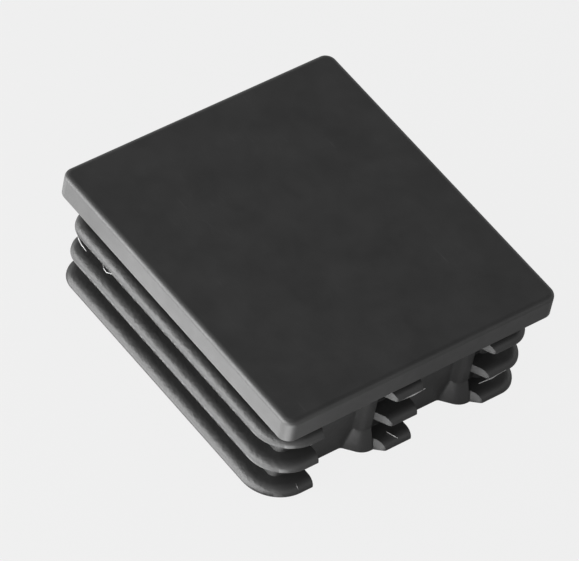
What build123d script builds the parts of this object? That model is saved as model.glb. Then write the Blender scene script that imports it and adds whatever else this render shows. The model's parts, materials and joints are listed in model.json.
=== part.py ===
from build123d import *
import os

# Rectangular tube end cap, moulded in one piece of black plastic.
#
# A flat plate covers the end of a 62 x 55 mm steel tube. Below it a hollow square plug,
# open at the bottom, carries three tiers of fins that bend and grip the tube's inside.
# The fins run unbroken along the two long sides and round the corners. On each short
# side two notches break them into a corner run, a short middle run and a corner run.
# An upright column on a stouter foot closes one end of each notch, and from there the
# fins slant back to their full reach.
#
# Frame, in millimetres: X along the tube's long side, Y along its short side, Z up
# through the plate. The origin is the centre of the open rim that the cap stands on.

os.makedirs("parts", exist_ok=True)

# Plate
plate_length = 62.0
plate_width = 55.3
plate_thickness = 4.6
plate_corner_radius = 2.0
plate_edge_radius = 1.0

# Fins
fin_length = 58.5  # across the fins along X
fin_width = 53.0  # across the fins along Y
fin_corner_radius = 4.4
fin_round_corner_radius = 6.8  # two opposite corners are cut back further
fin_thickness = 1.7
fin_edge_flat = 0.1  # upright strip left below the fins' rounded edge
fin_count = 3
fin_pitch = 6.1
throat_height = 4.8  # from the plate down to the first fin

# Hollow plug
fin_reach = 4.3  # from the plug's wall out to the fins' edge
plug_corner_radius = 1.5
post_size = 4.2  # upright posts that stiffen the plug's corners
post_rise = 0.7  # out from the plug's walls
wall_thickness = 2.0
roof_thickness = 2.6  # plastic left above the hollow
roof_fillet = 1.0

# Notches in the fins of the short sides
notch_width = 13.4
notch_spacing = 20.2
notch_shift = -0.45  # the pair sits a little off the middle of the side
lead_in = 1.55  # how far each fin slants back from the column to its full reach
lead_in_round = 1.1
lead_in_fade = 2.0  # length over which the slant's round dies out on the fin's edge
cut_reach = 1.5  # how far the notch's cutter runs out past the fins
cut_overlap = 0.02  # keeps the cutter's face off the fins' edge

# Columns: a low upright swell beside each notch's upper end
column_width = 2.7
column_rise = 1.5  # out from the plug's wall
column_flank = 0.7  # how far the flank leans back, seen from above
column_crown_radius = 1.0
column_root_radius = 0.5

# Feet: each column swells out below foot_height to this stouter shape at the rim
foot_width = 4.5
foot_rise = 3.0
foot_flank = 2.6
foot_crown_radius = 3.0
foot_root_radius = 1.0
foot_height = 3.9

# Heights and outlines that follow from these
plug_length = fin_length - 2 * fin_reach
plug_width = fin_width - 2 * fin_reach
plug_height = throat_height + fin_thickness + (fin_count - 1) * fin_pitch
cap_height = plug_height + plate_thickness
fin_edge_x = fin_length / 2
fin_edge_y = fin_width / 2
fin_edge_radius = fin_thickness - fin_edge_flat
wall_x = plug_length / 2
post_span = 2 * post_rise - post_size  # from the plug's size to the posts' spacing
inside_x = wall_x - wall_thickness / 2  # within the wall, where swells on it are rooted
notch_end = notch_width / 2
clear_x = fin_edge_x + cut_reach

# Two notches in each short side, the same when the cap is turned half round
notch_spots = [
    Location((0, 0, 0), (0, 0, half_turn)) * Location((0, notch_shift + side * notch_spacing / 2, 0))
    for half_turn in (0, 180)
    for side in (-1, 1)
]


def notch_outline(rise):
    """One notch from above. Its lower end is square, its upper end slants back to the edge."""
    with BuildSketch() as outline:
        with BuildLine():
            FilletPolyline(
                (wall_x, -notch_end),
                (clear_x, -notch_end),
                (clear_x, notch_end + lead_in + lead_in_fade),
                (fin_edge_x + 5 * cut_overlap, notch_end + lead_in + lead_in_fade),
                (fin_edge_x + cut_overlap, notch_end + lead_in),
                (wall_x + rise, notch_end),
                (wall_x, notch_end),
                radius=(0, 0, 0, 0, lead_in_round, 0, 0),
                close=True,
            )
        make_face()
    return outline.sketch


def swell_outline(width, rise, flank, crown_radius, root_radius):
    """A swell on the wall from above: square at its upper end, an S-curve at its lower."""
    root_y = notch_end - width
    with BuildSketch() as outline:
        with BuildLine():
            FilletPolyline(
                (inside_x, notch_end),
                (wall_x + rise, notch_end),
                (wall_x + rise, root_y + flank),
                (wall_x, root_y),
                (wall_x, root_y - 2 * root_radius),
                (inside_x, root_y - 2 * root_radius),
                radius=(0, 0, crown_radius, root_radius, 0, 0),
                close=True,
            )
        make_face()
    return outline.sketch


column = swell_outline(
    column_width, column_rise, column_flank, column_crown_radius, column_root_radius
)

with BuildPart() as foot:
    with BuildSketch():
        add(swell_outline(foot_width, foot_rise, foot_flank, foot_crown_radius, foot_root_radius))
    with BuildSketch(Plane.XY.offset(foot_height)):
        add(column)
    loft(ruled=True)

# One notch through all the fins. The lowest fin's slant twists from the foot's face at the
# rim to the column's face at the fin's top, where the other fins' slants start as well
with BuildPart() as notch:
    with BuildSketch():
        add(notch_outline(foot_rise))
    with BuildSketch(Plane.XY.offset(fin_thickness)) as upper_notch:
        add(notch_outline(column_rise))
    loft(ruled=True)
    extrude(upper_notch.sketch, amount=plug_height - fin_thickness)

with BuildPart() as end_cap:
    # Plate, rounded along its top edge
    with BuildSketch(Plane.XY.offset(plug_height)):
        RectangleRounded(plate_length, plate_width, plate_corner_radius)
    extrude(amount=plate_thickness)
    fillet(end_cap.edges().group_by(Axis.Z)[-1], radius=plate_edge_radius)

    # Fins: flat below, rounded along the top edge so that they ride into the tube
    for tier in range(fin_count):
        fin_bottom = tier * fin_pitch
        fin_top = fin_bottom + fin_thickness
        with BuildSketch(Plane.XY.offset(fin_bottom)):
            with BuildLine():
                FilletPolyline(
                    (fin_edge_x, -fin_edge_y),
                    (fin_edge_x, fin_edge_y),
                    (-fin_edge_x, fin_edge_y),
                    (-fin_edge_x, -fin_edge_y),
                    radius=2 * (fin_round_corner_radius, fin_corner_radius),
                    close=True,
                )
            make_face()
        extrude(amount=fin_thickness)
        fillet(end_cap.edges().filter_by_position(Axis.Z, fin_top, fin_top), radius=fin_edge_radius)

    # Notches in the fins
    with Locations(*notch_spots):
        add(notch.part, mode=Mode.SUBTRACT)

    # Plug
    with BuildSketch():
        RectangleRounded(plug_length, plug_width, plug_corner_radius)
        with GridLocations(post_span + plug_length, post_span + plug_width, 2, 2):
            RectangleRounded(post_size, post_size, plug_corner_radius)
    extrude(amount=plug_height)

    # Columns and their feet
    with BuildSketch():
        with Locations(*notch_spots):
            add(column)
    extrude(amount=plug_height)
    with Locations(*notch_spots):
        add(foot.part)

    # Hollow inside the plug, open at the rim and rounded under the roof
    hollow_height = cap_height - roof_thickness
    with BuildSketch():
        Rectangle(plug_length - 2 * wall_thickness, plug_width - 2 * wall_thickness)
    extrude(amount=hollow_height, mode=Mode.SUBTRACT)
    roof_edges = end_cap.edges().filter_by_position(Axis.Z, hollow_height, hollow_height)
    fillet(roof_edges, radius=roof_fillet)

end_cap.part.label = "end_cap"
export_step(end_cap.part, "parts/end_cap.step")
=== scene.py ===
"""Looks of the tube end cap: black satin plastic on a plain pale floor."""
import json
import math

import bmesh
import bpy
import mathutils.noise
from mathutils import Matrix, Vector

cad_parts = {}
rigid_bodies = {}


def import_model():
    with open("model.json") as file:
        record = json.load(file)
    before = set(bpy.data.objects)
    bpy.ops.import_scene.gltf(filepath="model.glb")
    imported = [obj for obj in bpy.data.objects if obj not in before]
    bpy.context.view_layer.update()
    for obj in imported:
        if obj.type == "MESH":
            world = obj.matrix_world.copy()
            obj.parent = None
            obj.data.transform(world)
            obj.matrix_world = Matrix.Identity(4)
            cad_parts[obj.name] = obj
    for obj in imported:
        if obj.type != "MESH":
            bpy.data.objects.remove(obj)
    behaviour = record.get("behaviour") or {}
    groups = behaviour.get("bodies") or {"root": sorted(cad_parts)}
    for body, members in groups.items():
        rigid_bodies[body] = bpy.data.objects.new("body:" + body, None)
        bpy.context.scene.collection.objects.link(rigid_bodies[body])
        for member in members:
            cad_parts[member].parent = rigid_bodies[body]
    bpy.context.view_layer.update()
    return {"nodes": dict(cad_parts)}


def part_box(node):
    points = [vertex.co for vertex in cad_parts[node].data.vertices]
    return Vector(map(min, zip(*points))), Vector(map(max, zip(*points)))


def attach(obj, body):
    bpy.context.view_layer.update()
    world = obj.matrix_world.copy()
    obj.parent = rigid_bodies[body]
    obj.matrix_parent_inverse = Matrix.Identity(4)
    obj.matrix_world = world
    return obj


for default_object in list(bpy.data.objects):
    bpy.data.objects.remove(default_object)

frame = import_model()
cap = frame["nodes"]["end_cap"]

MM = 0.001

# ---------------------------------------------------------------- node helpers


def give(tree, socket, value):
    """Link a value to a socket, or set the socket to a plain number."""
    if isinstance(value, bpy.types.NodeSocket):
        tree.links.new(value, socket)
    else:
        socket.default_value = value


def calculate(tree, operation, first, second=0):
    """An operation on a value and a second one, which may be a plain number."""
    worked = tree.nodes.new("ShaderNodeMath")
    worked.operation = operation
    give(tree, worked.inputs[0], first)
    give(tree, worked.inputs[1], second)
    return worked.outputs["Value"]


def ramp(tree, value, low, high, start, end):
    """value from low to high turned into a value from start to end, held beyond them."""
    scaled = tree.nodes.new("ShaderNodeMapRange")
    scaled.inputs["From Min"].default_value = low
    scaled.inputs["From Max"].default_value = high
    scaled.inputs["To Min"].default_value = start
    scaled.inputs["To Max"].default_value = end
    tree.links.new(value, scaled.inputs["Value"])
    return scaled.outputs["Result"]


NOISE_TURN = (0.3, 0.2, 0.5)  # radians, so that no noise lines up with the cap's sides


def noise(tree, scale, detail, stretch=(1, 1, 1)):
    """Noise in the part's own coordinates. scale counts blotches per metre."""
    place = tree.nodes.new("ShaderNodeTexCoord")
    mapping = tree.nodes.new("ShaderNodeMapping")
    mapping.inputs["Scale"].default_value = stretch
    mapping.inputs["Rotation"].default_value = NOISE_TURN
    tree.links.new(place.outputs["Object"], mapping.inputs["Vector"])
    texture = tree.nodes.new("ShaderNodeTexNoise")
    texture.inputs["Scale"].default_value = scale
    texture.inputs["Detail"].default_value = detail
    tree.links.new(mapping.outputs["Vector"], texture.inputs["Vector"])
    return texture.outputs["Fac"]


def position(tree):
    """X, Y and Z of the painted point in the part's own coordinates."""
    place = tree.nodes.new("ShaderNodeTexCoord")
    parts = tree.nodes.new("ShaderNodeSeparateXYZ")
    tree.links.new(place.outputs["Object"], parts.inputs[0])
    return parts.outputs["X"], parts.outputs["Y"], parts.outputs["Z"]


def bump(tree, height, depth, strength, under):
    """The normal under, disturbed by a height that spans depth in metres."""
    relief = tree.nodes.new("ShaderNodeBump")
    relief.inputs["Distance"].default_value = depth
    give(tree, relief.inputs["Strength"], strength)
    tree.links.new(height, relief.inputs["Height"])
    tree.links.new(under, relief.inputs["Normal"])
    return relief.outputs["Normal"]


# ---------------------------------------------------------------- plastic
# Places on the cap that the paint follows
PLUG_TOP = 18.6 * MM  # just under the plate
LEAD_IN_NORMAL = (0.484, -0.875, 0)
LEAD_IN_ROOT = 26 * MM  # out along X
LEAD_IN_TIP = 28.6 * MM
NOTCH_OFFSET = 0.45 * MM
NOTCH_SPACING = 20.2 * MM
COLUMN_END = 16.78 * MM  # from the start of a notch's repeat to past its column
LONG_FIN_ROOT = 22.8 * MM  # out along Y
LONG_FIN_SIDE = 24.5 * MM

# How many of each mark stand in a metre
BLOTCHES = 140
SCUFFS = 260
SCUFFED_PLACES = 70
# the next count breaks up the painted highlight on the lead-ins
HIGHLIGHT_SPECKS = 900
SATIN_PATCHES = 420
FLOW_MARKS = 110
SKIN_PEBBLES = 1300
GRAIN = 3200

# a pale grey for the scuffs, also used for the painted highlight on the lead-ins
SCUFF_AND_HIGHLIGHT_PALE = (0.14, 0.14, 0.14, 1)
SCUFF_STRETCH = (1, 24, 1)
SCUFF_PALENESS = 0.12
SCUFF_ROUGHNESS = 0.08
SATIN_SPREAD = 0.035
EDGE_SOFTNESS = 0.22 * MM
FLOW_DEPTH = 0.12 * MM
FLOW_STRENGTH = 0.25
SKIN_DEPTH = 0.18 * MM
SKIN_ON_WALLS = 0.18
SKIN_ON_LONG_FINS = 0.65
SKIN_ON_PLATE = 0.03  # share of the roughness below the plate
GRAIN_DEPTH = 0.012 * MM
GRAIN_STRENGTH = 0.5


def lead_in_highlight_mask(tree):
    """Near 1 on the slanted lead-ins of the fins, where they get a painted highlight that is more towards
    their tips, and 0 elsewhere.
    """
    place = tree.nodes.new("ShaderNodeTexCoord")
    facing = tree.nodes.new("ShaderNodeVectorMath")
    facing.operation = "DOT_PRODUCT"
    facing.inputs[1].default_value = LEAD_IN_NORMAL
    tree.links.new(place.outputs["Normal"], facing.inputs[0])
    slanted = ramp(tree, calculate(tree, "ABSOLUTE", facing.outputs["Value"]), 0.8, 0.97, 0, 1)
    x, y, z = position(tree)
    # The back side is the front one turned half round, so Y changes sign there
    along = calculate(tree, "MULTIPLY", calculate(tree, "SIGN", x), y)
    shifted = calculate(tree, "ADD", along, NOTCH_OFFSET)
    from_notch = calculate(tree, "FLOORED_MODULO", shifted, NOTCH_SPACING)
    past_column = calculate(tree, "GREATER_THAN", from_notch, COLUMN_END)
    below_plate = calculate(tree, "LESS_THAN", z, PLUG_TOP)
    more_at_tip = ramp(tree, calculate(tree, "ABSOLUTE", x), LEAD_IN_ROOT, LEAD_IN_TIP, 0.25, 1)
    on_fin = calculate(tree, "MULTIPLY", below_plate, more_at_tip)
    on_lead_in = calculate(tree, "MULTIPLY", past_column, on_fin)
    return calculate(tree, "MULTIPLY", slanted, on_lead_in)


def scuff_mask(tree):
    """1 on fine scuffs that run one way, which only some places have."""
    streaks = ramp(tree, noise(tree, SCUFFS, 3, SCUFF_STRETCH), 0.66, 0.74, 0, 1)
    places = ramp(tree, noise(tree, SCUFFED_PLACES, 2), 0.5, 0.62, 0, 1)
    return calculate(tree, "MULTIPLY", streaks, places)


def skin_strength(tree):
    """How rough the moulded skin is: most on the long fins, little on the walls, least on the plate."""
    _, y, z = position(tree)
    below_plate = ramp(tree, z, PLUG_TOP, PLUG_TOP + 0.2 * MM, 1, SKIN_ON_PLATE)
    out = calculate(tree, "ABSOLUTE", y)
    on_long_fins = ramp(tree, out, LONG_FIN_ROOT, LONG_FIN_SIDE, SKIN_ON_WALLS, SKIN_ON_LONG_FINS)
    return calculate(tree, "MULTIPLY", below_plate, on_long_fins)


def moulded_plastic(name, base, roughness, specular):
    """Satin plastic with a moulded grain, faint flow marks, fine scuffs, and a painted highlight that makes
    the lead-ins paler.
    """
    material = bpy.data.materials.new(name)
    material.use_nodes = True
    tree = material.node_tree
    shader = tree.nodes["Principled BSDF"]
    shader.inputs["Specular IOR Level"].default_value = specular

    scuffs = scuff_mask(tree)
    # painted highlight: the lead-ins get the pale colour unevenly, as if lit from their side; the scuffs
    # share that colour
    uneven_highlight = ramp(tree, noise(tree, HIGHLIGHT_SPECKS, 3), 0.3, 0.7, 0.7, 1)
    painted_highlight = calculate(tree, "MULTIPLY", lead_in_highlight_mask(tree), uneven_highlight)
    scuffs_and_painted_highlight = calculate(tree, "MAXIMUM", painted_highlight, ramp(tree, scuffs, 0, 1, 0, SCUFF_PALENESS))
    tone = tree.nodes.new("ShaderNodeMix")
    tone.data_type = "RGBA"
    tone.inputs["A"].default_value = (base, base, base, 1)
    tone.inputs["B"].default_value = SCUFF_AND_HIGHLIGHT_PALE
    tree.links.new(scuffs_and_painted_highlight, tone.inputs["Factor"])
    blotches = ramp(tree, noise(tree, BLOTCHES, 4), 0.35, 0.65, 0.9, 1.1)
    shade = tree.nodes.new("ShaderNodeVectorMath")
    shade.operation = "SCALE"
    tree.links.new(tone.outputs["Result"], shade.inputs["Vector"])
    tree.links.new(blotches, shade.inputs["Scale"])
    tree.links.new(shade.outputs["Vector"], shader.inputs["Base Color"])

    smoothest, dullest = roughness - SATIN_SPREAD, roughness + SATIN_SPREAD
    satin = ramp(tree, noise(tree, SATIN_PATCHES, 3), 0.3, 0.7, smoothest, dullest)
    scratched = ramp(tree, scuffs, 0, 1, 0, SCUFF_ROUGHNESS)
    tree.links.new(calculate(tree, "ADD", satin, scratched), shader.inputs["Roughness"])

    softened = tree.nodes.new("ShaderNodeBevel")
    softened.samples = 4
    softened.inputs["Radius"].default_value = EDGE_SOFTNESS
    flow = bump(tree, noise(tree, FLOW_MARKS, 2), FLOW_DEPTH, FLOW_STRENGTH, softened.outputs["Normal"])
    skin = bump(tree, noise(tree, SKIN_PEBBLES, 3), SKIN_DEPTH, skin_strength(tree), flow)
    grain = bump(tree, noise(tree, GRAIN, 3), GRAIN_DEPTH, GRAIN_STRENGTH, skin)
    tree.links.new(grain, shader.inputs["Normal"])
    return material


plastic = moulded_plastic("black_plastic_satin", base=0.02, roughness=0.44, specular=0.5)
# the flash gets a pale grey base, far paler than the cap
pale_flash_plastic = moulded_plastic("pale_flash_material", base=0.42, roughness=0.4, specular=0.5)
for material_slot in cap.material_slots:
    material_slot.material = plastic

# ---------------------------------------------------------------- helpers for the added pieces


def sweep(build, rings):
    """Faces along a row of three-cornered rings, closed at both ends."""
    for ring, next_ring in zip(rings, rings[1:]):
        for corner in range(3):
            following = (corner + 1) % 3
            build.faces.new((ring[corner], ring[following], next_ring[following], next_ring[corner]))
    build.faces.new(rings[0][::-1])
    build.faces.new(rings[-1])


def finished_piece(name, build, material):
    """An object of what was built, with its faces turned outward."""
    bmesh.ops.recalc_face_normals(build, faces=build.faces)
    mesh = bpy.data.meshes.new(name)
    build.to_mesh(mesh)
    build.free()
    mesh.materials.append(material)
    piece = bpy.data.objects.new(name, mesh)
    bpy.context.scene.collection.objects.link(piece)
    return piece


# ---------------------------------------------------------------- mould flash
# Thin torn slivers left on the fins, in millimetres from the part's origin.
# Each has its path, and the way and the distance that it stands out from that path.
FLASH_THICKNESS = 0.1
END_SWELL = 0.15  # share of the reach that stands at a sliver's very ends
SLIVERS = [
    # torn loose at the left corner of the upper fin
    (
        [(-26.3, -26.3, 12.5), (-25.0, -26.7, 12.3), (-23.7, -26.95, 12.1), (-22.2, -27.05, 12.0)],
        (0, 0, -0.3),
    ),
    (
        [(-18.6, -26.4, 12.3), (-17.8, -26.8, 12.1), (-16.9, -26.85, 12.0), (-16.0, -26.45, 12.2)],
        (0, 0, -0.25),
    ),
    # nubs round the corner between the shown sides
    ([(27.7, -22.4, 12.4), (28.1, -21.7, 12.25), (28.4, -21.0, 12.3)], (0.2, -0.05, -0.4)),
    ([(28.7, -20.4, 12.4), (28.95, -19.8, 12.25), (29.05, -19.0, 12.35)], (0.15, 0, -0.4)),
    ([(27.0, -24.0, 6.3), (27.5, -23.2, 6.15), (27.9, -22.6, 6.3)], (0.2, -0.2, -0.4)),
    # a seam up the lowest fin's rounding
    ([(28.15, -20.2, 1.55), (28.75, -20.2, 1.15), (29.15, -20.2, 0.3)], (0.12, 0, 0.12)),
    # curls in the gaps under the middle fin
    ([(27.3, -0.85, 1.8), (27.6, -0.7, 1.8), (28.2, -0.43, 1.75), (29.1, 0.0, 1.7)], (0, -0.16, 0.4)),
    ([(28.6, 16.6, 5.1), (28.8, 17.8, 5.25), (29.1, 19.2, 5.6), (29.15, 20.6, 6.1)], (0.05, 0, 0.28)),
    # lips along the edges
    ([(29.1, 17.9, 6.25), (29.2, 19.6, 6.2), (29.2, 21.6, 6.3)], (0.12, 0, -0.12)),
    ([(29.1, -2.0, 12.35), (29.2, 0.8, 12.3), (29.15, 3.4, 12.35)], (0.2, 0, -0.16)),
]


def sliver(build, path, reach):
    """A thin blade along path, standing out by reach at its middle and by little at its ends."""
    reach = Vector(reach) * MM
    rings = []
    last = len(path) - 1
    for step, point in enumerate(path):
        before = Vector(path[max(step - 1, 0)])
        after = Vector(path[min(step + 1, last)])
        sideways = (after - before).cross(reach).normalized() * FLASH_THICKNESS / 2 * MM
        swell = END_SWELL + (1 - END_SWELL) * math.sin(math.pi * (step + 0.5) / (last + 1))
        root = Vector(point) * MM
        corners = (root - sideways, root + sideways, root + swell * reach)
        rings.append([build.verts.new(corner) for corner in corners])
    sweep(build, rings)


flash_build = bmesh.new()
for path, reach in SLIVERS:
    sliver(flash_build, path, reach)
flash = finished_piece("mould_flash", flash_build, pale_flash_plastic)
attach(flash, "root")

# ---------------------------------------------------------------- parting line
# A ragged lip of uneven depth along the lower edge of each fin's long runs, in millimetres
FIN_BOTTOMS = (0.1, 6.15, 12.25)
FIN_EDGE_Y = 26.45
RUN_END = 22
LIP_STEPS = 160
LIP_DEPTHS = (0.06, 0.16, 0.16)  # deepest, one for each tier
LIP_LEAST = 0.04
LIP_ABOVE = 0.12  # how far the lip's root reaches up the fin's side
LIP_BELOW = 0.03
RAGGED_MIDDLE = 0.35
RAGGED_SWING = 1.6
RAGGED_LEAST = 0.05


def raggedness(along, side, tier):
    """Share of the lip's depth at a place along a fin, from RAGGED_LEAST to 1."""
    uneven = mathutils.noise.fractal((along * 1.3, side * 7, tier * 5), 0.5, 2, 4)
    return min(max(RAGGED_MIDDLE + RAGGED_SWING * uneven, RAGGED_LEAST), 1)


lip_build = bmesh.new()
for tier, (bottom, deepest) in enumerate(zip(FIN_BOTTOMS, LIP_DEPTHS)):
    for side in (-1, 1):
        rings = []
        for step in range(LIP_STEPS + 1):
            along = -RUN_END + 2 * RUN_END * step / LIP_STEPS
            depth = LIP_LEAST + deepest * raggedness(along, side, tier)
            corners = [
                (along, side * FIN_EDGE_Y, bottom + LIP_ABOVE),
                (along, side * (FIN_EDGE_Y + depth), bottom),
                (along, side * FIN_EDGE_Y, bottom - LIP_BELOW),
            ]
            rings.append([lip_build.verts.new(Vector(corner) * MM) for corner in corners])
        sweep(lip_build, rings)
lip = finished_piece("parting_line", lip_build, plastic)
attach(lip, "root")

# ---------------------------------------------------------------- floor and world


def background_share(tree, seen, mirrored):
    """seen for camera and transmission rays, mirrored for glossy rays, 0 for all others."""
    path = tree.nodes.new("ShaderNodeLightPath")
    through = calculate(tree, "MAXIMUM", path.outputs["Is Camera Ray"], path.outputs["Is Transmission Ray"])
    looked_at = calculate(tree, "MULTIPLY", through, seen)
    glossy = calculate(tree, "MULTIPLY", path.outputs["Is Glossy Ray"], mirrored)
    return calculate(tree, "ADD", glossy, looked_at)


FLOOR_SIZE = 6.0
FLOOR_Z = -0.02 * MM
FLOOR_MATT = (0.33, 0.33, 0.33, 1)
FLOOR_PALE = (0.887, 0.887, 0.887, 1)
FLOOR_SEEN = 0.95
FLOOR_MIRRORED = 0.07
floor_mesh = bpy.data.meshes.new("floor")
half = FLOOR_SIZE / 2
floor_mesh.from_pydata(
    [(-half, -half, FLOOR_Z), (half, -half, FLOOR_Z), (half, half, FLOOR_Z), (-half, half, FLOOR_Z)],
    [],
    [(0, 1, 2, 3)],
)
floor = bpy.data.objects.new("floor", floor_mesh)
bpy.context.scene.collection.objects.link(floor)
floor_paint = bpy.data.materials.new("floor_paint")
floor_paint.use_nodes = True
tree = floor_paint.node_tree
tree.nodes.remove(tree.nodes["Principled BSDF"])
matt = tree.nodes.new("ShaderNodeBsdfDiffuse")
matt.inputs["Color"].default_value = FLOOR_MATT
glow = tree.nodes.new("ShaderNodeEmission")
glow.inputs["Color"].default_value = FLOOR_PALE
mix = tree.nodes.new("ShaderNodeMixShader")
tree.links.new(background_share(tree, FLOOR_SEEN, FLOOR_MIRRORED), mix.inputs[0])
tree.links.new(matt.outputs[0], mix.inputs[1])
tree.links.new(glow.outputs[0], mix.inputs[2])
tree.links.new(mix.outputs[0], tree.nodes["Material Output"].inputs["Surface"])
floor_mesh.materials.append(floor_paint)

# The room as the camera and reflections see it: a pale wall up to WALL_TOP, which fades to a
# dark ceiling at CEILING_EDGE. Both are heights on a sphere of radius 1. All else gets FILL.
WALL = 0.863
WALL_TOP = 0.3
CEILING = 0.03
CEILING_EDGE = 0.65
FILL = 0.85
world = bpy.data.worlds.new("studio")
bpy.context.scene.world = world
world.use_nodes = True
tree = world.node_tree
backdrop = tree.nodes["Background"]
backdrop.inputs["Color"].default_value = (1, 1, 1, 1)
direction = tree.nodes.new("ShaderNodeTexCoord")
height = tree.nodes.new("ShaderNodeSeparateXYZ")
tree.links.new(direction.outputs["Generated"], height.inputs[0])
room = ramp(tree, height.outputs["Z"], WALL_TOP, CEILING_EDGE, WALL, CEILING)
level = tree.nodes.new("ShaderNodeMapRange")
level.inputs["To Min"].default_value = FILL
tree.links.new(background_share(tree, 1, 1), level.inputs["Value"])
tree.links.new(room, level.inputs["To Max"])
tree.links.new(level.outputs[0], backdrop.inputs["Strength"])

# ---------------------------------------------------------------- lights


def soft_light(name, centre, aim, width, height, radiance):
    """A rectangular lamp, sizes in metres. radiance 1 would look white if seen directly."""
    data = bpy.data.lights.new(name, "AREA")
    data.shape = "RECTANGLE"
    data.size = width
    data.size_y = height
    data.energy = radiance * math.pi * width * height
    lamp = bpy.data.objects.new(name, data)
    bpy.context.scene.collection.objects.link(lamp)
    lamp.location = centre
    lamp.rotation_mode = "QUATERNION"
    lamp.rotation_quaternion = (Vector(centre) - Vector(aim)).to_track_quat("Z", "Y")
    lamp.visible_camera = False


CARD_HEIGHT = 0.05 * MM
CARD_STEP = 0.01 * MM  # between cards that overlap
STRIP_Y = -0.19


def floor_card(name, x, y, width, depth, radiance, layer=0):
    """A bright card that lies on the floor and faces up."""
    z = CARD_HEIGHT + layer * CARD_STEP
    soft_light(name, (x, y, z), (x, y, 1), width, depth, radiance)


def standing_strip(name, x, z, width, height, radiance):
    """An upright lamp in front of the long side shown, facing it."""
    soft_light(name, (x, STRIP_Y, z), (x, 0, z), width, height, radiance)


SUN = 0.12 * math.pi
SUN_SPREAD = math.radians(40)
SUN_FROM = (-0.10, -0.25, 0.96)
sun_data = bpy.data.lights.new("overhead", "SUN")
sun_data.energy = SUN
sun_data.angle = SUN_SPREAD
sun = bpy.data.objects.new("overhead", sun_data)
bpy.context.scene.collection.objects.link(sun)
sun.rotation_mode = "QUATERNION"
sun.rotation_quaternion = Vector(SUN_FROM).to_track_quat("Z", "Y")

floor_card("floor_card", x=-0.063, y=-0.0583, width=0.234, depth=0.0634, radiance=2.35)
floor_card("far_card", x=-0.07, y=-0.1355, width=0.22, depth=0.091, radiance=13.5)
floor_card("near_card", x=0.001, y=-0.032, width=0.058, depth=0.0108, radiance=2.25, layer=1)
floor_card("corner_card", x=0.06, y=-0.0645, width=0.04, depth=0.073, radiance=4.4)
floor_card("corner_glint", x=0.045, y=-0.044, width=0.024, depth=0.024, radiance=4.2, layer=2)
standing_strip("left_strip", x=-0.08, z=0.0325, width=0.34, height=0.06, radiance=9.6)
standing_strip("left_panel", x=-0.08, z=0.0975, width=0.34, height=0.07, radiance=3.1)
standing_strip("near_strip", x=0.13, z=0.0325, width=0.08, height=0.06, radiance=7.8)

# ---------------------------------------------------------------- camera
# Angles in degrees, lens in millimetres, the rest in metres
AZIMUTH = 43.484
ELEVATION = 47.569
ROLL = 12.6434
DISTANCE = 0.9353056  # from the middle of the plate's top
FOCAL = 360.62
SENSOR_WIDTH = 36
ASIDE = (-0.0033091, -0.0077542)  # right and up in the picture
NEAREST = 0.01

azimuth, elevation, roll = (math.radians(angle) for angle in (AZIMUTH, ELEVATION, ROLL))
back = Vector(
    (math.sin(azimuth) * math.cos(elevation), -math.cos(azimuth) * math.cos(elevation), math.sin(elevation))
)
level_right = (-back).cross(Vector((0, 0, 1))).normalized()
level_up = level_right.cross(-back)
right = math.cos(roll) * level_right + math.sin(roll) * level_up
up = math.cos(roll) * level_up - math.sin(roll) * level_right
plate_top = Vector((0, 0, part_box("end_cap")[1][2]))
eye = plate_top + ASIDE[0] * right + ASIDE[1] * up + DISTANCE * back
camera_data = bpy.data.cameras.new("camera")
camera_data.lens = FOCAL
camera_data.sensor_width = SENSOR_WIDTH
camera_data.clip_start = NEAREST
camera = bpy.data.objects.new("camera", camera_data)
bpy.context.scene.collection.objects.link(camera)
camera.matrix_world = Matrix.Translation(eye) @ Matrix((right, up, back)).transposed().to_4x4()
bpy.context.scene.camera = camera

bpy.context.scene.view_settings.view_transform = "Standard"
